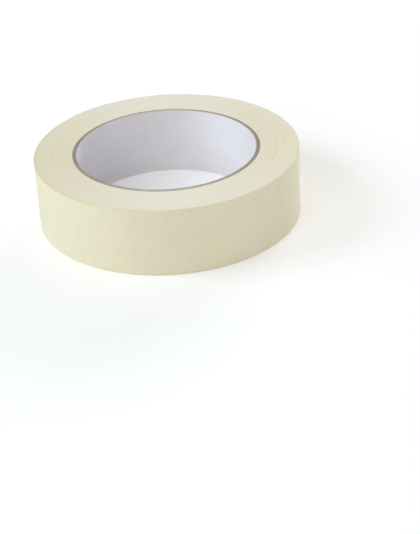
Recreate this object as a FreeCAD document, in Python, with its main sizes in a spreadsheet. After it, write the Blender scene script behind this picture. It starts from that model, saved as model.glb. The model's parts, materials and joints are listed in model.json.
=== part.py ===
import FreeCAD, Part
import math
import os

import Sketcher

# A roll of masking tape lying flat. Millimetres, +Z up along the roll's axis, origin on that axis at
# the base. The tape is wound on a spiral-wound board core. The last turn is a piece of its own, and the
# free end of that turn, the tail, is a chain of short links that peel off the roll one after another.

# Driving dimensions. Every other size below is worked out from these.
DRIVING = {
    "core_bore": (76.2, "inside diameter of the core, 3 in"),
    "liner_gauge": (0.20, "white paper that lines the bore"),
    "board_gauge": (0.45, "each of the three board plies"),
    "wrap_gauge": (0.20, "smooth paper round the board, which the first turn sticks to"),
    "seam_lead": (105.0, "height that a core strip climbs in one turn"),
    "seam_gap": (0.30, "gap between the two edges of a core strip, square to the edge"),
    "liner_seam_top": (80.0, "degrees from +X to where the liner's seam meets the top"),
    "seam_stagger": (144.0, "degrees from one ply's seam to the next ply's"),
    "tape_width": (29.5, "a strip sold as 30 mm"),
    "tape_length": (40000.0, "tape on the full roll"),
    "backing_gauge": (0.09, "crepe paper"),
    "adhesive_gauge": (0.035, "adhesive coat under the paper"),
    "turn_clearance": (0.01, "between the last turn and the turns under it"),
    "tail_root": (40.0, "degrees from +X to where the tail leaves the last turn"),
    "tail_links": (8, "links in the tail"),
    "link_angle": (12.0, "degrees of the roll that one link covers"),
    "cut_gap": (0.5, "slit between the tail's cut end and the start of the last turn"),
}

# How far a cutting profile passes the faces it cuts through.
OVERCUT = 0.05

# Radii from the bore outward. Each has brackets round it, so that it can stand inside another sum.
CORE_INSIDE = "(Sizes.core_bore / 2)"
LINER_OUTSIDE = f"({CORE_INSIDE} + Sizes.liner_gauge)"
INNER_BOARD_OUTSIDE = f"({LINER_OUTSIDE} + Sizes.board_gauge)"
MIDDLE_BOARD_OUTSIDE = f"({INNER_BOARD_OUTSIDE} + Sizes.board_gauge)"
OUTER_BOARD_OUTSIDE = f"({MIDDLE_BOARD_OUTSIDE} + Sizes.board_gauge)"
CORE_OUTSIDE = f"({OUTER_BOARD_OUTSIDE} + Sizes.wrap_gauge)"

# A wound strip fills a ring whose end area is the strip's length times its gauge.
TAPE_GAUGE = "(Sizes.backing_gauge + Sizes.adhesive_gauge)"
ROLL_OUTSIDE = f"sqrt({CORE_OUTSIDE} ^ 2 + Sizes.tape_length * {TAPE_GAUGE} / pi)"
BACKING_INSIDE = f"({ROLL_OUTSIDE} - Sizes.backing_gauge)"
COAT_INSIDE = f"({BACKING_INSIDE} - Sizes.adhesive_gauge)"
PACK_OUTSIDE = f"({COAT_INSIDE} - Sizes.turn_clearance)"

# Angles round the roll, in degrees. The last turn and the tail go once round, but for the slit.
TAIL_SWEEP = "Sizes.tail_links * Sizes.link_angle"
CUT_SWEEP = f"Sizes.cut_gap / {ROLL_OUTSIDE} * 180 / pi"
LAST_TURN_SWEEP = f"(360 - {TAIL_SWEEP} - {CUT_SWEEP})"

ORIGIN = FreeCAD.Vector(0, 0, 0)
UP = FreeCAD.Vector(0, 0, 1)

# How Sketcher names the parts of a piece of geometry and its own origin and axes.
START, END, CENTRE = 1, 2, 3
SKETCH_ORIGIN = (-1, 1)
FIRST_AXIS = -1

doc = FreeCAD.newDocument("masking_tape_roll")
sheet = doc.addObject("Spreadsheet::Sheet", "Sizes")


def fill_sheet():
    """One row per driving dimension: its name, its number and what it is."""
    for row, (name, (value, meaning)) in enumerate(DRIVING.items(), start=1):
        sheet.set(f"A{row}", name)
        sheet.set(f"B{row}", str(value))
        sheet.setAlias(f"B{row}", name)
        sheet.set(f"C{row}", meaning)
    doc.recompute()


def value_of(expression):
    """The number that an expression gives now, which a sketch needs as its first guess."""
    return float(sheet.evalExpression(expression))


def new_body(label):
    body = doc.addObject("PartDesign::Body", label)
    body.Label = label
    return body


def new_sketch(body, name, role):
    """An empty sketch on the body's own origin plane with that role."""
    plane = next(item for item in body.Origin.OriginFeatures if item.Role == role)
    sketch = body.newObject("Sketcher::SketchObject", name)
    sketch.AttachmentSupport = [(plane, "")]
    sketch.MapMode = "FlatFace"
    return sketch


def bind(sketch, name, constraint, expression):
    """Adds a constraint and ties its value to the sheet."""
    index = sketch.addConstraint(constraint)
    sketch.renameConstraint(index, name)
    sketch.setExpression(f"Constraints.{name}", expression)


def draw_circle(sketch, name, radius):
    guess = value_of(radius)
    circle = sketch.addGeometry(Part.Circle(ORIGIN, UP, guess), False)
    sketch.addConstraint(Sketcher.Constraint("Coincident", circle, CENTRE, *SKETCH_ORIGIN))
    bind(sketch, name, Sketcher.Constraint("Radius", circle, guess), radius)


def draw_arc(sketch, name, radius, sweep):
    """An arc about the origin that starts on the sketch's first axis and runs anticlockwise."""
    radius_guess = value_of(radius)
    sweep_guess = math.radians(value_of(sweep))
    circle = Part.Circle(ORIGIN, UP, radius_guess)
    arc = sketch.addGeometry(Part.ArcOfCircle(circle, 0, sweep_guess), False)
    sketch.addConstraint(Sketcher.Constraint("Coincident", arc, CENTRE, *SKETCH_ORIGIN))
    sketch.addConstraint(Sketcher.Constraint("PointOnObject", arc, START, FIRST_AXIS))
    bind(sketch, f"{name}_radius", Sketcher.Constraint("Radius", arc, radius_guess), radius)
    bind(sketch, f"{name}_sweep", Sketcher.Constraint("Angle", arc, sweep_guess), sweep)
    return arc


def join_arcs(sketch, first, second, end):
    """A straight line between the same ends of two arcs."""
    line = Part.LineSegment(sketch.getPoint(first, end), sketch.getPoint(second, end))
    edge = sketch.addGeometry(line, False)
    sketch.addConstraint(Sketcher.Constraint("Coincident", edge, START, first, end))
    sketch.addConstraint(Sketcher.Constraint("Coincident", edge, END, second, end))


def draw_upright_rectangle(sketch, left, right, low, high):
    """A rectangle whose four sides stand at those distances from the sketch's axes."""
    corners = (
        FreeCAD.Vector(value_of(left), value_of(low), 0),
        FreeCAD.Vector(value_of(right), value_of(low), 0),
        FreeCAD.Vector(value_of(right), value_of(high), 0),
        FreeCAD.Vector(value_of(left), value_of(high), 0),
    )
    sides = []
    for index, corner in enumerate(corners):
        following = corners[(index + 1) % len(corners)]
        sides.append(sketch.addGeometry(Part.LineSegment(corner, following), False))
    for index, side in enumerate(sides):
        following = sides[(index + 1) % len(sides)]
        sketch.addConstraint(Sketcher.Constraint("Coincident", side, END, following, START))
    bottom, right_side, top, left_side = sides
    sketch.addConstraint(Sketcher.Constraint("Horizontal", bottom))
    sketch.addConstraint(Sketcher.Constraint("Horizontal", top))
    sketch.addConstraint(Sketcher.Constraint("Vertical", left_side))
    sketch.addConstraint(Sketcher.Constraint("Vertical", right_side))
    places = (
        ("left", "DistanceX", left_side, left),
        ("right", "DistanceX", right_side, right),
        ("low", "DistanceY", bottom, low),
        ("high", "DistanceY", top, high),
    )
    for name, kind, side, expression in places:
        place = Sketcher.Constraint(kind, *SKETCH_ORIGIN, side, START, value_of(expression))
        bind(sketch, name, place, expression)


def pad_to_tape_width(body, sketch):
    pad = body.newObject("PartDesign::Pad", f"{body.Name}_pad")
    pad.Profile = sketch
    pad.setExpression("Length", "Sizes.tape_width")
    sketch.Visibility = False
    doc.recompute()


def turn_about_axis(body, angle):
    """Places the body turned about the roll's axis by an angle tied to the sheet."""
    body.Placement = FreeCAD.Placement(ORIGIN, FreeCAD.Rotation(UP, 0))
    body.setExpression(".Placement.Rotation.Angle", angle)


def ring(label, inside, outside):
    """A plain ring as wide as the tape."""
    body = new_body(label)
    sketch = new_sketch(body, f"{label}_outline", "XY_Plane")
    draw_circle(sketch, "inside", inside)
    draw_circle(sketch, "outside", outside)
    pad_to_tape_width(body, sketch)
    return body


def cut_spiral_seam(body, inside, outside):
    """Cuts the ring along the helix where the two edges of its strip meet."""
    solid_ring = body.Shape.Volume
    middle = f"(({inside} + {outside}) / 2)"
    edge_slope = f"atan(Sizes.seam_lead / (2 * pi * {middle}))"
    slot_height = f"(Sizes.seam_gap / cos({edge_slope}))"
    sketch = new_sketch(body, f"{body.Name}_seam_profile", "XZ_Plane")
    left = f"{inside} - {OVERCUT}"
    right = f"{outside} + {OVERCUT}"
    draw_upright_rectangle(sketch, left, right, f"-2 * {slot_height}", f"-{slot_height}")
    seam = body.newObject("PartDesign::SubtractiveHelix", f"{body.Name}_seam")
    seam.Profile = sketch
    seam.ReferenceAxis = (sketch, ["V_Axis"])
    seam.Mode = "pitch-height-angle"
    seam.LeftHanded = False
    seam.Reversed = False
    seam.setExpression("Pitch", "Sizes.seam_lead")
    seam.setExpression("Height", f"Sizes.tape_width + 3 * {slot_height}")
    doc.recompute()
    assert body.Shape.Volume < solid_ring, f"{body.Label}: the seam cuts nothing"


def core_ply(label, order, inside, outside):
    """One strip of the core, wound as a helix with its edges butted, and its seam staggered."""
    body = ring(label, inside, outside)
    cut_spiral_seam(body, inside, outside)
    seam_run = "360 * Sizes.tape_width / Sizes.seam_lead"
    turn_about_axis(body, f"Sizes.liner_seam_top - {seam_run} + {order} * Sizes.seam_stagger")
    return body


def strip_piece(label, inside, outside, start, sweep):
    """A length of strip lying on the roll, from one angle on through a sweep."""
    body = new_body(label)
    sketch = new_sketch(body, f"{label}_outline", "XY_Plane")
    inner = draw_arc(sketch, "inner", inside, sweep)
    outer = draw_arc(sketch, "outer", outside, sweep)
    join_arcs(sketch, inner, outer, START)
    join_arcs(sketch, inner, outer, END)
    pad_to_tape_width(body, sketch)
    turn_about_axis(body, start)
    return body


def core():
    """The spiral-wound tube: a paper liner, three board plies and a paper wrap."""
    return [
        core_ply("core_liner", 0, CORE_INSIDE, LINER_OUTSIDE),
        core_ply("core_ply_inner", 1, LINER_OUTSIDE, INNER_BOARD_OUTSIDE),
        core_ply("core_ply_middle", 2, INNER_BOARD_OUTSIDE, MIDDLE_BOARD_OUTSIDE),
        core_ply("core_ply_outer", 3, MIDDLE_BOARD_OUTSIDE, OUTER_BOARD_OUTSIDE),
        core_ply("core_wrap", 4, OUTER_BOARD_OUTSIDE, CORE_OUTSIDE),
    ]


def wound_turns():
    """All the turns under the last one. Their adhesive bonds them into a single ring."""
    return [ring("tape_pack", CORE_OUTSIDE, PACK_OUTSIDE)]


def tape_strip(paper_label, coat_label, start, sweep):
    """A length of tape on the roll: the crepe paper outside and the adhesive coat under it."""
    return [
        strip_piece(paper_label, BACKING_INSIDE, ROLL_OUTSIDE, start, sweep),
        strip_piece(coat_label, COAT_INSIDE, BACKING_INSIDE, start, sweep),
    ]


def last_turn():
    """The last turn, from just past the tail's cut end round to the tail's root."""
    start = f"Sizes.tail_root - {LAST_TURN_SWEEP}"
    return tape_strip("last_turn_paper", "last_turn_adhesive", start, LAST_TURN_SWEEP)


def tail():
    """The free end. Its links run anticlockwise from the root, each from where the one before ends."""
    links = []
    for order in range(int(value_of("Sizes.tail_links"))):
        start = f"Sizes.tail_root + {order} * Sizes.link_angle"
        number = order + 1
        links += tape_strip(f"tail_paper_{number}", f"tail_adhesive_{number}", start, "Sizes.link_angle")
    return links


def check_document():
    """Stops on any object that failed to recompute."""
    for item in doc.Objects:
        failed = {"Invalid", "Error"} & set(item.State)
        assert not failed, f"{item.Label}: {item.State}"


def write_parts(pieces):
    """Checks that each piece is one sound solid and writes its file."""
    os.makedirs("parts", exist_ok=True)
    for piece in pieces:
        shape = piece.Shape
        assert not shape.isNull() and shape.isValid(), f"{piece.Label}: bad shape"
        assert len(shape.Solids) == 1, f"{piece.Label}: {len(shape.Solids)} solids"
        shape.exportStep(f"parts/{piece.Label}.step")
        print(piece.Label, round(shape.Volume, 2), "mm3")


fill_sheet()
pieces = core() + wound_turns() + last_turn() + tail()
doc.recompute()
check_document()
write_parts(pieces)
print("roll radius", round(value_of(ROLL_OUTSIDE), 3), "mm")
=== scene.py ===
import json
import math

import bpy
import numpy as np
from mathutils import Matrix, Vector


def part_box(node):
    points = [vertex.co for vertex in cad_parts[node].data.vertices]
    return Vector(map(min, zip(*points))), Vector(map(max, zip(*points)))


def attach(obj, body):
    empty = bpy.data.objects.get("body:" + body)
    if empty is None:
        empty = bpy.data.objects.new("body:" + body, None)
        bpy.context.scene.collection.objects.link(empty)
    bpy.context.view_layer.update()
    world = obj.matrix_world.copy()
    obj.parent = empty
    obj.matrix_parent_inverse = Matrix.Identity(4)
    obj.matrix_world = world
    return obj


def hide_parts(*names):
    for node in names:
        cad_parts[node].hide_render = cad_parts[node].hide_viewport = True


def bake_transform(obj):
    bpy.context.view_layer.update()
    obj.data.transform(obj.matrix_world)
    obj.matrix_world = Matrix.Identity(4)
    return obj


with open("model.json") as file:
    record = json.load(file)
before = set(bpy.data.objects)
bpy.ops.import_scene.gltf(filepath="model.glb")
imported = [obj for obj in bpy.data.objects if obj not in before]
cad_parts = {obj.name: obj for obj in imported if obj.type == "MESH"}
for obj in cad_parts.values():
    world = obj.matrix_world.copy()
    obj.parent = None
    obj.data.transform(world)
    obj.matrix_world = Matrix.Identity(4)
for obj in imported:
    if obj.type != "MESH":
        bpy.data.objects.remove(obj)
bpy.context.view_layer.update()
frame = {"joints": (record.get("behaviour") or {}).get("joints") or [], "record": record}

# Looks for a roll of masking tape lying flat. Metres, +Z up along the roll's axis. Angles round the
# roll are measured from +X, anticlockwise seen from above. Strips are wound about the Z axis.

MM = 0.001
FULL_TURN = 2 * math.pi

# Sizes read from the CAD nodes. PAPER and TAPE are the gauges of the paper and of the whole tape.
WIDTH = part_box("tape_pack")[1].z
ROLL_RADIUS = -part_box("last_turn_paper")[0].x
COAT_OUTSIDE = -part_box("last_turn_adhesive")[0].x
PACK_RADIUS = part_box("tape_pack")[1].x
CORE_NODES = ("core_liner", "core_ply_inner", "core_ply_middle", "core_ply_outer", "core_wrap")
CORE_RADII = [-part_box(node)[0].x for node in CORE_NODES]
BORE_RADIUS = frame["record"]["mounts"][0]["dims"]["r_mm"] * MM
CORE_RADIUS = CORE_RADII[-1]
PAPER = ROLL_RADIUS - COAT_OUTSIDE
TAPE = ROLL_RADIUS - PACK_RADIUS
GIRTH = FULL_TURN * ROLL_RADIUS

# The tail's hinges give the angle where each link starts.
TAIL_JOINTS = [joint for joint in frame["joints"] if joint["child"].startswith("tail_")]
LINK_STARTS = [math.atan2(joint["pos_m"][1], joint["pos_m"][0]) for joint in TAIL_JOINTS]
LINK_SWEEP = LINK_STARTS[1] - LINK_STARTS[0]
TAIL_ROOT = LINK_STARTS[0]
CUT_END = LINK_STARTS[-1] + LINK_SWEEP


# ---------------------------------------------------------------------------------------------------
# Noise for relief. All of it is seeded, so every run gives the same roll.
# ---------------------------------------------------------------------------------------------------
WRINKLE_SWAY = 1.4 * MM


def smooth_step(share):
    return share * share * (3 - 2 * share)


def noise(along, across, cell_along, cell_across, seed):
    """Smooth noise from 0 to 1. It repeats after one turn of the roll, and across goes up to WIDTH."""
    cells = max(3, round(GIRTH / cell_along))
    lanes = 2 + int(WIDTH / cell_across)
    values = np.random.default_rng(seed).random((cells, lanes + 2))
    column = (along / GIRTH % 1) * cells
    lane = np.clip(across / cell_across, 0, lanes)
    column_floor = np.floor(column).astype(int)
    lane_floor = np.floor(lane).astype(int)
    column_share = smooth_step(column - column_floor)
    lane_share = smooth_step(lane - lane_floor)
    here = column_floor % cells
    following = (column_floor + 1) % cells
    lane_above = lane_floor + 1
    low = values[here, lane_floor] * (1 - column_share) + values[following, lane_floor] * column_share
    high = values[here, lane_above] * (1 - column_share) + values[following, lane_above] * column_share
    return low * (1 - lane_share) + high * lane_share


def fine_crepe(along, across):
    """The crepe's smallest wrinkles, from 0 on a ridge to 1 in a valley. They run across the tape."""
    sway = (noise(along, across, 9 * MM, 6 * MM, seed=11) - 0.5) * WRINKLE_SWAY
    return 1 - abs(2 * noise(along + sway, across, 0.50 * MM, 1.7 * MM, seed=12) - 1)


def crepe(along, across):
    """How deep all the crepe's wrinkles are together, from 0 to 1."""
    wide = noise(along, across, 1.1 * MM, 3.6 * MM, seed=13)
    broad = noise(along, across, 4.5 * MM, 12 * MM, seed=14)
    return 0.5 * fine_crepe(along, across) + 0.3 * wide + 0.2 * broad


# ---------------------------------------------------------------------------------------------------
# Wound strips
# ---------------------------------------------------------------------------------------------------
SHARP_ANGLE = math.radians(50)


def stitch(first, second):
    """Faces between two chains of points that start together and end together."""
    last_first = len(first) - 1
    last_second = len(second) - 1
    if last_first == last_second:
        return [(first[i], first[i + 1], second[i + 1], second[i]) for i in range(last_first)]
    faces = []
    i = j = 0
    while i < last_first or j < last_second:
        if j == last_second or (i < last_first and (i + 1) * last_second <= (j + 1) * last_first):
            faces.append((first[i], first[i + 1], second[j]))
            i += 1
        else:
            faces.append((first[i], second[j + 1], second[j]))
            j += 1
    return faces


def strip_faces(rows, loop, columns, ring):
    """Faces for a strip with loop points in each column, of which the first rows + 1 are its outer wall."""
    count = columns if ring else columns + 1
    column = np.arange(columns)[:, None]
    following = (column + 1) % count
    corner = np.arange(loop)[None, :]
    next_corner = (corner + 1) % loop
    quads = np.stack([
        column * loop + corner,
        following * loop + corner,
        following * loop + next_corner,
        column * loop + next_corner,
    ], -1).reshape(-1, 4)
    faces = quads.tolist()
    if not ring:
        # The two cut ends, between the outer wall's points and the inner wall's.
        cut = stitch(range(rows + 1), range(loop - 1, rows, -1))
        last_column = columns * loop
        faces += cut
        faces += [tuple(last_column + index for index in reversed(face)) for face in cut]
    return faces


def add_piece(name, points, faces, place):
    """A smooth mesh in which every point keeps its place on the strip, in millimetres."""
    mesh = bpy.data.meshes.new(name)
    mesh.from_pydata(points.tolist(), [], faces)
    mesh.validate()
    attribute = mesh.attributes.new("place", "FLOAT_VECTOR", "POINT")
    attribute.data.foreach_set("vector", (place / MM).astype(np.float32).ravel())
    mesh.polygons.foreach_set("use_smooth", [True] * len(mesh.polygons))
    mesh.set_sharp_from_angle(angle=SHARP_ANGLE)
    mesh.update()
    piece = bpy.data.objects.new(name, mesh)
    bpy.context.scene.collection.objects.link(piece)
    return piece


def even_rows(rows):
    """The heights of a wall's rows of points, as shares from the base to the top."""
    return np.linspace(0, 1, rows + 1)


def wound_strip(name, inner, outer, start, sweep, relief, columns, wall, inner_wall=None, steps=1,
                start_slope=0.0):
    """A closed strip wound about Z as high as the roll is wide.

    inner and outer are radii, or functions of the angle. start is the angle where the strip begins at
    the base, and start_slope is how far that moves per metre of height, which makes a helical seam.
    wall holds the heights of the outer wall's rows, and inner_wall those of the inner wall where they
    differ. steps divide the two end faces, which only a full ring needs.
    relief(angle, radius, height, outward, upward) gives the radial and upward shift of every point,
    where outward and upward say how far a point is from the inner to the outer wall and from the base
    to the top, from 0 to 1.
    """
    inner_wall = wall if inner_wall is None else inner_wall
    rows = len(wall) - 1
    ring = sweep == FULL_TURN
    end = np.linspace(1, 0, steps + 1)
    outward = np.concatenate([np.ones(rows), end[:-1], np.zeros(len(inner_wall) - 1), end[:0:-1]])
    upward = np.concatenate([wall[:-1], np.ones(steps), inner_wall[:0:-1], np.zeros(steps)])
    loop = len(outward)
    count = columns if ring else columns + 1
    share = np.arange(count) / columns
    height = WIDTH * np.broadcast_to(upward, (count, loop))
    angle = start + sweep * share[:, None] + start_slope * height
    inner_radius = inner(angle) if callable(inner) else np.full(angle.shape, inner)
    outer_radius = outer(angle) if callable(outer) else np.full(angle.shape, outer)
    radius = inner_radius + (outer_radius - inner_radius) * outward
    place = np.stack([angle * ROLL_RADIUS, height, radius], -1)

    shift_out, shift_up = relief(angle, radius, height, outward, upward)
    radius = radius + shift_out
    height = height + shift_up
    points = np.stack([radius * np.cos(angle), radius * np.sin(angle), height], -1).reshape(-1, 3)
    return add_piece(name, points, strip_faces(rows, loop, columns, ring), place)


def into_strip(upward):
    """The way into the strip from its end faces: -1 at the top, 1 at the base and 0 on the walls."""
    return np.where(upward == 1, -1, 0) + np.where(upward == 0, 1, 0)


def places(piece):
    """The angle, height and radius that every point of a piece had before its relief."""
    place = np.zeros(len(piece.data.vertices) * 3, np.float32)
    piece.data.attributes["place"].data.foreach_get("vector", place)
    along, height, radius = place.reshape(-1, 3).T * MM
    return along / ROLL_RADIUS, height, radius


def store(piece, name, values):
    """Keeps one number per point for the piece's material to read."""
    attribute = piece.data.attributes.new(name, "FLOAT", "POINT")
    attribute.data.foreach_set("value", np.asarray(values, np.float32).ravel())


def dress(piece, material, node=None):
    """Gives a piece its material, and shows it in place of its CAD node where it has one."""
    piece.data.materials.append(material)
    if node:
        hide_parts(node)


def beside(angle, side, spread):
    """1 at one side of the roll, fading to 0 on the way round."""
    gap = (angle - side + math.pi) % FULL_TURN - math.pi
    return np.exp(-(gap / spread) ** 2)


def front_back_sheen(angle):
    """Painted sheen, as a share: most at the front and the back, where the end faces look paler."""
    return np.sin(angle) ** 2


# ---------------------------------------------------------------------------------------------------
# Materials. Texture scales are in cells per millimetre: along the strip, across it and out from the axis.
# ---------------------------------------------------------------------------------------------------
class Shader:
    """A material under construction: a Principled surface and the nodes that feed it."""

    def __init__(self, name):
        self.material = bpy.data.materials.new(name)
        self.material.use_nodes = True
        self.nodes = self.material.node_tree.nodes
        self.links = self.material.node_tree.links
        self.surface = self.nodes["Principled BSDF"]

    def feed(self, socket, value):
        """Sets a socket to a number, a colour or another node's output."""
        if isinstance(value, bpy.types.NodeSocket):
            self.links.new(value, socket)
        elif isinstance(value, tuple) and len(value) == 3 and len(socket.default_value) == 4:
            socket.default_value = (*value, 1)
        else:
            socket.default_value = value

    def attribute(self, name):
        node = self.nodes.new("ShaderNodeAttribute")
        node.attribute_name = name
        return node.outputs["Vector"] if name == "place" else node.outputs["Fac"]

    def noise(self, place, scales, detail=3.0, roughness=0.55):
        """Fractal noise from 0 to 1 over the strip."""
        stretch = self.nodes.new("ShaderNodeVectorMath")
        stretch.operation = "MULTIPLY"
        self.feed(stretch.inputs[0], place)
        self.feed(stretch.inputs[1], scales)
        node = self.nodes.new("ShaderNodeTexNoise")
        self.feed(node.inputs["Vector"], stretch.outputs["Vector"])
        self.feed(node.inputs["Scale"], 1.0)
        self.feed(node.inputs["Detail"], detail)
        self.feed(node.inputs["Roughness"], roughness)
        return node.outputs["Fac"]

    def spread(self, value, low, high, to_low=0.0, to_high=1.0):
        """A value between low and high, as the same share of the way from to_low to to_high."""
        node = self.nodes.new("ShaderNodeMapRange")
        for name, number in (("Value", value), ("From Min", low), ("From Max", high),
                             ("To Min", to_low), ("To Max", to_high)):
            self.feed(node.inputs[name], number)
        return node.outputs["Result"]

    def mix(self, share, first, second):
        node = self.nodes.new("ShaderNodeMix")
        node.data_type = "RGBA"
        self.feed(node.inputs["Factor"], share)
        self.feed(node.inputs[6], first)
        self.feed(node.inputs[7], second)
        return node.outputs[2]

    def bump(self, height, strength, distance):
        node = self.nodes.new("ShaderNodeBump")
        self.feed(node.inputs["Height"], height)
        self.feed(node.inputs["Strength"], strength)
        self.feed(node.inputs["Distance"], distance)
        self.feed(self.surface.inputs["Normal"], node.outputs["Normal"])

    def set(self, **values):
        for name, value in values.items():
            self.feed(self.surface.inputs[name.replace("_", " ")], value)


def crepe_material():
    """Cream crepe paper: painted shade in the valleys, with pink and straw mottling, fibres and a soft
    sheen.
    """
    shader = Shader("crepe_paper")
    place = shader.attribute("place")
    mottle = shader.noise(place, (0.22, 0.07, 0.1), detail=5.0, roughness=0.62)
    stain = shader.noise(place, (0.17, 0.06, 0.4), detail=5.0, roughness=0.62)
    blotch = shader.noise(place, (1.1, 0.28, 1.0))
    fibre = shader.noise(place, (3.2, 0.9, 2.0), detail=4.0)
    ridge = (0.775, 0.733, 0.592)
    valley_shade = (0.714, 0.670, 0.512)
    pink = (0.798, 0.712, 0.590)
    straw = (0.775, 0.727, 0.478)
    pale = (0.83, 0.80, 0.65)
    amber = (0.700, 0.620, 0.300)
    # Painted shade in the crepe's valleys.
    paper = shader.mix(shader.spread(shader.attribute("crepe"), 0.2, 0.9), ridge, valley_shade)
    paper = shader.mix(shader.spread(mottle, 0.42, 0.58, 0.0, 0.5), paper, pink)
    paper = shader.mix(shader.spread(stain, 0.40, 0.62, 0.0, 0.42), paper, straw)
    paper = shader.mix(shader.spread(blotch, 0.42, 0.60, 0.0, 0.5), paper, straw)
    paper = shader.mix(shader.spread(fibre, 0.3, 0.75, 0.0, 0.18), paper, pale)
    # An amber tint along the rims, strongest on one side of the roll.
    paper = shader.mix(shader.attribute("rim"), paper, amber)
    shader.set(Base_Color=paper, Roughness=shader.spread(fibre, 0.3, 0.7, 0.52, 0.68))
    shader.set(Specular_IOR_Level=0.35, Sheen_Weight=0.08, Sheen_Roughness=0.5)
    shader.bump(fibre, 0.25, 0.02 * MM)
    return shader.material


def turn_edges_material():
    """The cut edges of the turns: fine rings where some turns show a little more adhesive, and a painted
    sheen that makes them paler at the front and the back.
    """
    shader = Shader("turn_edges")
    place = shader.attribute("place")
    grain = shader.noise(place, (0.8, 0.4, 6.0))
    mottle = shader.noise(place, (0.06, 0.1, 0.25), detail=2.0)
    straw = (0.797, 0.729, 0.538)
    pale = (0.920, 0.875, 0.755)
    amber = (0.780, 0.690, 0.420)
    deep_amber = (0.700, 0.625, 0.310)
    fibres = (0.93, 0.89, 0.77)
    beige = (0.86, 0.79, 0.61)
    # Painted sheen: paler at the front and the back.
    edge = shader.mix(shader.attribute("front_back_sheen"), straw, pale)
    # Amber in the grooves between paper edges, partly the adhesive set back there and partly painted shade.
    edge = shader.mix(shader.spread(shader.attribute("groove"), 0.0, 1.0, 0.0, 0.25), edge, amber)
    edge = shader.mix(shader.spread(shader.attribute("ring"), 0.0, 1.0, 0.0, 0.9), edge, deep_amber)
    edge = shader.mix(shader.spread(grain, 0.3, 0.75, 0.0, 0.22), edge, fibres)
    edge = shader.mix(shader.spread(mottle, 0.35, 0.7, 0.0, 0.25), edge, beige)
    shader.set(Base_Color=edge, Roughness=shader.spread(grain, 0.3, 0.7, 0.36, 0.5))
    shader.set(Specular_IOR_Level=0.5)
    shader.bump(grain, 0.3, 0.03 * MM)
    return shader.material


def adhesive_material():
    """The rubber adhesive under the paper: amber, slightly uneven and glossy."""
    shader = Shader("adhesive")
    place = shader.attribute("place")
    streak = shader.noise(place, (0.25, 0.9, 1.0))
    pebble = shader.noise(place, (2.5, 1.2, 1.0), detail=2.0)
    amber = shader.mix(shader.spread(streak, 0.3, 0.7), (0.80, 0.72, 0.50), (0.74, 0.64, 0.40))
    shader.set(Base_Color=amber, Roughness=shader.spread(pebble, 0.3, 0.7, 0.22, 0.38))
    shader.set(Specular_IOR_Level=0.55)
    shader.bump(pebble, 0.4, 0.03 * MM)
    return shader.material


def liner_material():
    """Smooth white paper with faint fibres and scuffs, and a darker line where its edges meet. Painted
    shade darkens one side and a painted highlight lightens another, both strongest towards the top.
    """
    shader = Shader("liner_paper")
    place = shader.attribute("place")
    fibre = shader.noise(place, (1.4, 1.4, 1.0), detail=4.0)
    scuff = shader.noise(place, (0.10, 0.16, 1.0))
    fresh = (0.785, 0.768, 0.796)
    scuffed = (0.760, 0.730, 0.748)
    fibres = (0.70, 0.69, 0.70)
    shadow = (0.52, 0.48, 0.44)
    painted_shade = (0.560, 0.560, 0.600)
    painted_highlight = (0.890, 0.895, 0.960)
    cut_edge = (0.30, 0.26, 0.24)
    white = shader.mix(shader.spread(scuff, 0.35, 0.8), fresh, scuffed)
    white = shader.mix(shader.spread(fibre, 0.35, 0.75, 0.0, 0.25), white, fibres)
    white = shader.mix(shader.spread(shader.attribute("seam"), 0.0, 1.0, 0.0, 0.08), white, shadow)
    # Painted shade on one side of the liner.
    white = shader.mix(shader.attribute("painted_shade"), white, painted_shade)
    # A painted highlight on another side of the liner.
    white = shader.mix(shader.attribute("painted_highlight"), white, painted_highlight)
    white = shader.mix(shader.attribute("edge"), white, cut_edge)
    shader.set(Base_Color=white, Roughness=shader.spread(fibre, 0.3, 0.7, 0.45, 0.62))
    shader.set(Specular_IOR_Level=0.4)
    shader.bump(fibre, 0.15, 0.02 * MM)
    return shader.material


def board_material():
    """Recycled board: grey-brown, with darker fibres on its rough cut edge, and a painted sheen that makes
    it paler at the front and the back.
    """
    shader = Shader("board")
    place = shader.attribute("place")
    speck = shader.noise(place, (1.6, 1.6, 5.0), detail=4.0, roughness=0.65)
    patch = shader.noise(place, (0.35, 0.35, 1.0))
    dark = (0.205, 0.160, 0.130)
    grey = (0.380, 0.318, 0.270)
    brown = (0.455, 0.370, 0.308)
    pale = (0.590, 0.500, 0.425)
    board = shader.mix(shader.spread(speck, 0.32, 0.68), dark, grey)
    board = shader.mix(shader.spread(patch, 0.38, 0.62, 0.0, 0.7), board, brown)
    # Painted sheen: paler at the front and the back.
    board = shader.mix(shader.attribute("front_back_sheen"), board, pale)
    shader.set(Base_Color=board, Roughness=shader.spread(speck, 0.3, 0.7, 0.8, 0.95))
    shader.set(Specular_IOR_Level=0.2)
    shader.bump(speck, 0.5, 0.05 * MM)
    return shader.material


def wrap_material():
    """Brown kraft paper round the board."""
    shader = Shader("wrap_paper")
    place = shader.attribute("place")
    fibre = shader.noise(place, (1.8, 1.8, 2.0), detail=4.0)
    brown = shader.mix(shader.spread(fibre, 0.3, 0.7), (0.22, 0.165, 0.11), (0.33, 0.26, 0.18))
    shader.set(Base_Color=brown, Roughness=shader.spread(fibre, 0.3, 0.7, 0.7, 0.85))
    shader.set(Specular_IOR_Level=0.25)
    shader.bump(fibre, 0.3, 0.03 * MM)
    return shader.material


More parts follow.
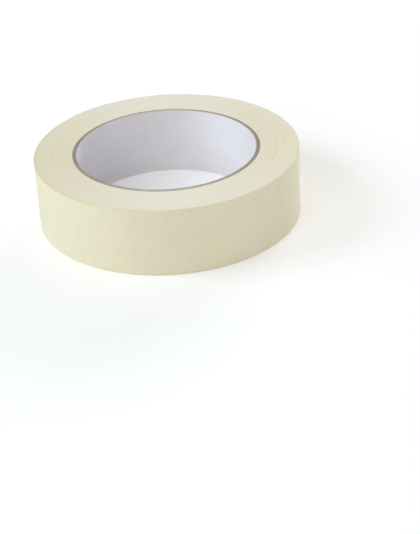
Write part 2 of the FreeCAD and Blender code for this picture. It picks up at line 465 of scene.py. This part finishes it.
# ---------------------------------------------------------------------------------------------------
# The core
# ---------------------------------------------------------------------------------------------------
# The seams follow the CAD strips: a helix for each, staggered from one strip to the next.
SEAM_LEAD = 105 * MM
SEAM_SLOPE = FULL_TURN / SEAM_LEAD
LINER_SEAM_TOP = math.radians(80)
SEAM_STAGGER = math.radians(144)
SEAM_WIDTH = 0.12 * MM
LINER_SET_BACK = 0.03 * MM
LINER_WAVES = 0.12 * MM
SEAM_LIFT = 0.05 * MM
SEAM_LIP = 0.9 * MM
SEAM_SHADOW = 0.35 * MM
LINER_RAGGED = 0.04 * MM
# Painted shade on one side of the liner and a painted highlight on another, both growing towards the top.
PAINTED_LIGHT_STRENGTH = 0.6
SHADED_SIDE = math.radians(172)
SHADED_SPREAD = math.radians(32)
HIGHLIGHT_SIDE = math.radians(50)
HIGHLIGHT_SPREAD = math.radians(24)
BOARD_FUZZ = 0.10 * MM
BOARD_TUFTS = 0.08 * MM
BOARD_SHEEN = 0.75


def seam_start(order):
    """The angle where a strip's seam meets the base."""
    return LINER_SEAM_TOP + order * SEAM_STAGGER - SEAM_SLOPE * WIDTH


def make_liner(material):
    """The white liner. Its two edges rise a little where they meet along the seam."""
    sweep = FULL_TURN - SEAM_WIDTH / BORE_RADIUS
    outside = CORE_RADII[0]

    def from_seam(angle, height):
        """The distance along the liner to the nearer of its two edges."""
        along = (angle - seam_start(0) - SEAM_SLOPE * height) * BORE_RADIUS
        return np.clip(np.minimum(along, sweep * BORE_RADIUS - along), 0, None)

    def relief(angle, radius, height, outward, upward):
        along = angle * ROLL_RADIUS
        lift = SEAM_LIFT * np.exp(-from_seam(angle, height) / SEAM_LIP)
        waves = LINER_WAVES * (noise(along, height, 9 * MM, 11 * MM, seed=21) - 0.5)
        ragged = LINER_RAGGED * noise(along, height, 0.8 * MM, 5 * MM, seed=22)
        return np.where(outward < 0.5, waves - lift, 0), into_strip(upward) * ragged

    liner = wound_strip("liner", BORE_RADIUS + LINER_SET_BACK, outside, seam_start(0), sweep, relief,
                        columns=480, wall=even_rows(40), start_slope=SEAM_SLOPE)
    angle, height, radius = places(liner)
    # Painted shade and a painted highlight, both growing towards the top of the liner.
    painted_light = PAINTED_LIGHT_STRENGTH * height / WIDTH
    depth = (radius - BORE_RADIUS) / (outside - BORE_RADIUS)
    store(liner, "seam", np.exp(-from_seam(angle, height) / SEAM_SHADOW))
    store(liner, "edge", np.clip(2 * depth - 0.6, 0, 1))
    store(liner, "painted_shade", painted_light * beside(angle, SHADED_SIDE, SHADED_SPREAD))
    store(liner, "painted_highlight", painted_light * beside(angle, HIGHLIGHT_SIDE, HIGHLIGHT_SPREAD))
    dress(liner, material, "core_liner")
    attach(liner, "roll")


def make_board(name, order, node, material):
    """One strip of the core. The knife leaves its cut edges rough."""
    inside = CORE_RADII[order - 1]
    outside = CORE_RADII[order]

    def relief(angle, radius, height, outward, upward):
        along = angle * ROLL_RADIUS
        fuzz = BOARD_FUZZ * noise(along, radius - inside, 0.5 * MM, 0.6 * MM, seed=30 + order)
        tufts = BOARD_TUFTS * noise(along, radius - inside, 2.2 * MM, 0.6 * MM, seed=40 + order)
        return np.zeros_like(radius), into_strip(upward) * (fuzz + tufts)

    sweep = FULL_TURN - 2 * SEAM_WIDTH / inside
    board = wound_strip(name, inside, outside, seam_start(order), sweep, relief,
                        columns=600, wall=even_rows(40), start_slope=SEAM_SLOPE)
    angle = places(board)[0]
    # Painted sheen on the cut edge, most at the front and the back.
    store(board, "front_back_sheen", BOARD_SHEEN * front_back_sheen(angle))
    dress(board, material, node)
    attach(board, "roll")


def make_core():
    make_liner(liner_material())
    board = board_material()
    make_board("board_inner", 1, "core_ply_inner", board)
    make_board("board_middle", 2, "core_ply_middle", board)
    make_board("board_outer", 3, "core_ply_outer", board)
    make_board("core_wrapper", 4, "core_wrap", wrap_material())


# ---------------------------------------------------------------------------------------------------
# The tape
# ---------------------------------------------------------------------------------------------------
CREPE_DEPTH = 0.055 * MM
EDGE_ROUND = 0.50 * MM
EDGE_DROP = 0.10 * MM
TURN_GAP = 0.01 * MM
TAIL_LIFT = 0.10 * MM
TAIL_LIFT_REACH = 4 * MM
CUT_GAP = 0.15 * MM

# A wall with no wrinkles only needs rows where its rims are rounded.
CREPE_WALL = even_rows(54)
PLAIN_WALL = CREPE_WALL[[0, 1, -2, -1]]

# Rings on the end faces, where some turns show more adhesive.
FIRST_RING = CORE_RADIUS + 1.5 * MM
RING_SPACING = 1.375 * MM
RING_WIDTH = 0.20 * MM
RING_LEAN = 0.2 * MM
RING_WANDER = 0.15
RING_UNEVENNESS = 0.6
RING_MIDDLE = CORE_RADIUS + 0.4 * (ROLL_RADIUS - CORE_RADIUS)
RING_REACH = 6 * MM
FAR_RING = 0.1
RING_FADE = 0.6
RIM_SIDE = math.radians(195)
RIM_WIDTH = 1.4 * MM
RIM_STRENGTH = 0.7

# How far the paper edges of single turns sink into the end faces.
GROOVE_DEPTH = 0.02 * MM
TURN_JITTER = 0.03 * MM
TURN_SWELL = 0.03 * MM
RING_DEPTH = 0.03 * MM


def spiral_outside(angle):
    """The last turn's outer radius. It is one gauge lower a full turn before the cut end."""
    back = (CUT_END - angle) / FULL_TURN
    return ROLL_RADIUS - TAPE * np.clip(back, 0, 1)


def rim_closeness(distance):
    """1 at a rim of the roll, falling to 0 where its rounding ends."""
    return np.clip(1 - distance / EDGE_ROUND, 0, 1) ** 2


def from_ends(height):
    """The distance to the nearer end face."""
    return np.minimum(height, WIDTH - height)


def coat_relief(angle, radius, height, outward, upward):
    """Rims that are slightly rounded."""
    return -EDGE_DROP * rim_closeness(from_ends(height)), into_strip(upward) * EDGE_DROP


def crepe_relief(angle, radius, height, outward, upward):
    """The rounded rims, with wrinkles on the outer wall."""
    wrinkle = crepe(angle * ROLL_RADIUS, height) * CREPE_DEPTH
    shift_out, shift_up = coat_relief(angle, radius, height, outward, upward)
    return shift_out - np.where(outward > 0.5, wrinkle, 0), shift_up


def outer_rim(angle, radius):
    """An amber tint along the roll's outer rim: on one side, fading round to nothing."""
    side = (1 + np.cos(angle - RIM_SIDE)) / 2
    return RIM_STRENGTH * side ** 3 * np.exp(-((ROLL_RADIUS - radius) / RIM_WIDTH) ** 2)


def ring_strength(angle, radius):
    """Which turns stand out on the end faces, as a share. Every second ring is strong on the right side,
    and the rings between those on the left."""
    along = angle * ROLL_RADIUS
    right = (1 + np.cos(angle)) / 2
    order = (radius - FIRST_RING + RING_LEAN * (1 - right)) / RING_SPACING
    nearest = np.round(order)
    wander = RING_WANDER * (noise(along, nearest * MM, 110 * MM, 1 * MM, seed=51) - 0.5)
    even = 0.35 + 0.65 * right
    odd = 0.80 - 0.65 * right
    weight = np.where(nearest % 2 == 0, even, odd)
    uneven = noise(along, nearest * MM, 60 * MM, 1 * MM, seed=52) - 0.5
    weight = weight * (1 + RING_UNEVENNESS * uneven)
    near_middle = np.exp(-((radius - RING_MIDDLE) / RING_REACH) ** 2)
    weight = weight * (FAR_RING + (1 - FAR_RING) * near_middle)
    # The rings fade under the painted sheen at the front and the back.
    weight = weight * (1 - RING_FADE * front_back_sheen(angle))
    distance = (order - nearest - wander) * RING_SPACING
    return weight * np.exp(-(distance / RING_WIDTH) ** 2) + outer_rim(angle, radius)


def store_crepe(piece):
    """The crepe's depth, which darkens the paper as painted shade in its valleys, and an amber tint along
    the rims on one side of the roll.
    """
    angle, height, radius = places(piece)
    store(piece, "crepe", fine_crepe(angle * ROLL_RADIUS, height))
    near_rim = np.exp(-(from_ends(height) / EDGE_ROUND) ** 2)
    store(piece, "rim", near_rim * outer_rim(angle, radius))


def make_turns(material):
    """All the turns under the last two. Each turn's paper edge is a ridge, with the adhesive set back."""
    inside = CORE_RADIUS + TURN_GAP
    outside = ROLL_RADIUS - 2.5 * TAPE
    turns = round((outside - inside) / TAPE)

    def groove(radius):
        """1 half way between two ridges and 0 on a ridge."""
        order = (radius - inside) / (outside - inside) * turns
        return abs(order - np.floor(order) - 0.5) * 2

    def relief(angle, radius, height, outward, upward):
        along = angle * ROLL_RADIUS
        across = radius - inside
        drop = TURN_JITTER * noise(along, across, 40 * MM, TAPE, seed=53)
        drop = drop + TURN_SWELL * noise(along, across, 90 * MM, 1.1 * MM, seed=54)
        drop = drop + RING_DEPTH * ring_strength(angle, radius)
        drop = drop + GROOVE_DEPTH * groove(radius)
        drop = drop + EDGE_DROP * rim_closeness(ROLL_RADIUS - radius)
        return np.zeros_like(radius), into_strip(upward) * drop

    piece = wound_strip("turns", inside, outside, 0, FULL_TURN, relief,
                        columns=180, wall=even_rows(1), steps=2 * turns)
    angle, _, radius = places(piece)
    store(piece, "ring", ring_strength(angle, radius))
    store(piece, "groove", groove(radius))
    # Painted sheen, most at the front and the back.
    store(piece, "front_back_sheen", front_back_sheen(angle))
    dress(piece, material, "tape_pack")
    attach(piece, "roll")


def make_under_turn(material):
    """The turn under the last one, which shows where the tail has been peeled back."""
    outside = ROLL_RADIUS - 2 * TAPE - TURN_GAP
    inside = outside - 0.5 * (TAPE - TURN_GAP)
    piece = wound_strip("turn_under", inside, outside, 0, FULL_TURN, crepe_relief,
                        columns=1440, wall=CREPE_WALL, inner_wall=PLAIN_WALL)
    store_crepe(piece)
    dress(piece, material)
    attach(piece, "roll")


def paper_outside(angle):
    """The outer radius of the last turn and the tail. The last few millimetres stand off the roll."""
    from_cut = (CUT_END - angle) * ROLL_RADIUS
    return spiral_outside(angle) + TAIL_LIFT * np.clip(1 - from_cut / TAIL_LIFT_REACH, 0, 1) ** 2


def paper_inside(angle):
    """Where the paper ends and its adhesive coat begins."""
    return paper_outside(angle) - PAPER


def coat_inside(angle):
    return paper_outside(angle) - TAPE


def make_tape(names, nodes, start, sweep, columns, materials):
    """A length of the outer tape: the crepe paper and the adhesive coat under it."""
    paper = wound_strip(names[0], paper_inside, paper_outside, start, sweep, crepe_relief,
                        columns=columns, wall=CREPE_WALL, inner_wall=PLAIN_WALL)
    store_crepe(paper)
    coat = wound_strip(names[1], coat_inside, paper_inside, start, sweep, coat_relief,
                       columns=columns // 4, wall=PLAIN_WALL)
    for piece, node, slot, material in zip((paper, coat), nodes, ("crepe_paper", "adhesive"), materials):
        dress(piece, material, node)
    return paper, coat


def make_outer_tape(crepe_paper, adhesive):
    """The last turn and the tail, as one link from each of the tail's hinges."""
    materials = (crepe_paper, adhesive)
    start = CUT_END - FULL_TURN + CUT_GAP / ROLL_RADIUS
    last_turn = make_tape(("last_turn", "last_turn_coat"), ("last_turn_paper", "last_turn_adhesive"),
                          start, TAIL_ROOT - start, columns=1320, materials=materials)
    for piece in last_turn:
        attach(piece, "last_turn")
    for number, (joint, angle) in enumerate(zip(TAIL_JOINTS, LINK_STARTS), start=1):
        link = make_tape((f"tail_{number}", f"tail_coat_{number}"),
                         (f"tail_paper_{number}", f"tail_adhesive_{number}"),
                         angle, LINK_SWEEP, columns=60, materials=materials)
        for piece in link:
            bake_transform(piece)


# ---------------------------------------------------------------------------------------------------
# Studio
# ---------------------------------------------------------------------------------------------------
WHITE = (1.0, 1.0, 1.0)
FLOOR_REACH = 6.0
FLOOR_PAINT = (0.93, 0.93, 0.93)
FLOOR_LIFT = 0.14
FADE_START = 0.35
FADE_END = 1.2
SKY_STRENGTH = 0.43
LAMP_DISTANCE = 1.5
LAMP_SIZE = 0.9


def make_floor():
    """A wide pale floor that fades to the backdrop's white far from the roll. The camera sees it a
    little brighter than the light that it throws back."""
    corners = [(-FLOOR_REACH, -FLOOR_REACH, 0), (FLOOR_REACH, -FLOOR_REACH, 0),
               (FLOOR_REACH, FLOOR_REACH, 0), (-FLOOR_REACH, FLOOR_REACH, 0)]
    mesh = bpy.data.meshes.new("floor")
    mesh.from_pydata(corners, [], [(0, 1, 2, 3)])
    floor = bpy.data.objects.new("floor", mesh)
    bpy.context.scene.collection.objects.link(floor)
    shader = Shader("floor_paint")
    shader.set(Base_Color=FLOOR_PAINT, Roughness=0.9, Specular_IOR_Level=0.1)
    seen = shader.nodes.new("ShaderNodeLightPath")
    lift = shader.spread(seen.outputs["Is Camera Ray"], 0, 1, 0, FLOOR_LIFT)
    shader.set(Emission_Color=WHITE, Emission_Strength=lift)
    coords = shader.nodes.new("ShaderNodeTexCoord")
    distance = shader.nodes.new("ShaderNodeVectorMath")
    distance.operation = "LENGTH"
    shader.feed(distance.inputs[0], coords.outputs["Object"])
    far = shader.spread(distance.outputs["Value"], FADE_START, FADE_END)
    glow = shader.nodes.new("ShaderNodeEmission")
    shader.feed(glow.inputs["Color"], WHITE)
    blend = shader.nodes.new("ShaderNodeMixShader")
    shader.feed(blend.inputs[0], far)
    shader.links.new(shader.surface.outputs[0], blend.inputs[1])
    shader.links.new(glow.outputs[0], blend.inputs[2])
    shader.links.new(blend.outputs[0], shader.nodes["Material Output"].inputs["Surface"])
    mesh.materials.append(shader.material)


def make_backdrop():
    """A soft white sky that lights the roll. The camera sees it as plain white."""
    world = bpy.data.worlds.new("studio")
    world.use_nodes = True
    nodes = world.node_tree.nodes
    links = world.node_tree.links
    sky = nodes["Background"]
    sky.inputs["Color"].default_value = (*WHITE, 1)
    sky.inputs["Strength"].default_value = SKY_STRENGTH
    backdrop = nodes.new("ShaderNodeBackground")
    backdrop.inputs["Color"].default_value = (*WHITE, 1)
    seen = nodes.new("ShaderNodeLightPath")
    either = nodes.new("ShaderNodeMixShader")
    links.new(seen.outputs["Is Camera Ray"], either.inputs[0])
    links.new(sky.outputs[0], either.inputs[1])
    links.new(backdrop.outputs[0], either.inputs[2])
    links.new(either.outputs[0], nodes["World Output"].inputs["Surface"])
    bpy.context.scene.world = world


def softbox(name, azimuth, elevation, watts, colour):
    """A square lamp aimed at the roll. Azimuth is the lamp's direction from +X, in degrees."""
    light = bpy.data.lights.new(name, "AREA")
    light.shape = "SQUARE"
    light.size = LAMP_SIZE
    light.energy = watts
    light.color = colour
    lamp = bpy.data.objects.new(name, light)
    turn = math.radians(azimuth)
    rise = math.radians(elevation)
    away = Vector((math.cos(turn) * math.cos(rise), math.sin(turn) * math.cos(rise), math.sin(rise)))
    lamp.location = Vector((0, 0, WIDTH / 2)) + away * LAMP_DISTANCE
    lamp.rotation_mode = "QUATERNION"
    lamp.rotation_quaternion = away.to_track_quat("Z", "Y")
    bpy.context.scene.collection.objects.link(lamp)


def make_lamps():
    softbox("key", 180, 32, 10.5, (0.76, 0.885, 1.0))
    softbox("front", 240, 32, 7.1, (1.0, 0.985, 0.94))
    softbox("back", 60, 10, 17, WHITE)
    softbox("right", 0, 10, 5.6, (1.0, 0.985, 0.93))


def make_camera():
    """A 100 mm lens that looks down on the roll from the front."""
    height_angle = math.radians(28.0)
    distance = 0.6443
    look_down = math.radians(30.32)
    look_right = math.radians(1.58)
    tilt = math.radians(-3.21)
    place = Vector((0, -math.cos(height_angle), math.sin(height_angle))) * distance
    ahead = Vector((math.sin(look_right) * math.cos(look_down),
                    math.cos(look_right) * math.cos(look_down),
                    -math.sin(look_down)))
    level_right = ahead.cross(Vector((0, 0, 1))).normalized()
    level_up = level_right.cross(ahead)
    right = level_right * math.cos(tilt) + level_up * math.sin(tilt)
    up = level_up * math.cos(tilt) - level_right * math.sin(tilt)
    data = bpy.data.cameras.new("camera")
    data.lens = 100
    data.sensor_width = 36
    data.clip_start = 0.01
    data.clip_end = 50
    camera = bpy.data.objects.new("camera", data)
    turned = Matrix((right, up, -ahead)).transposed().to_4x4()
    camera.matrix_world = Matrix.Translation(place) @ turned
    bpy.context.scene.collection.objects.link(camera)
    bpy.context.scene.camera = camera


make_core()
crepe_paper = crepe_material()
make_turns(turn_edges_material())
make_under_turn(crepe_paper)
make_outer_tape(crepe_paper, adhesive_material())
make_floor()
make_backdrop()
make_lamps()
make_camera()
bpy.context.scene.view_settings.view_transform = "Standard"
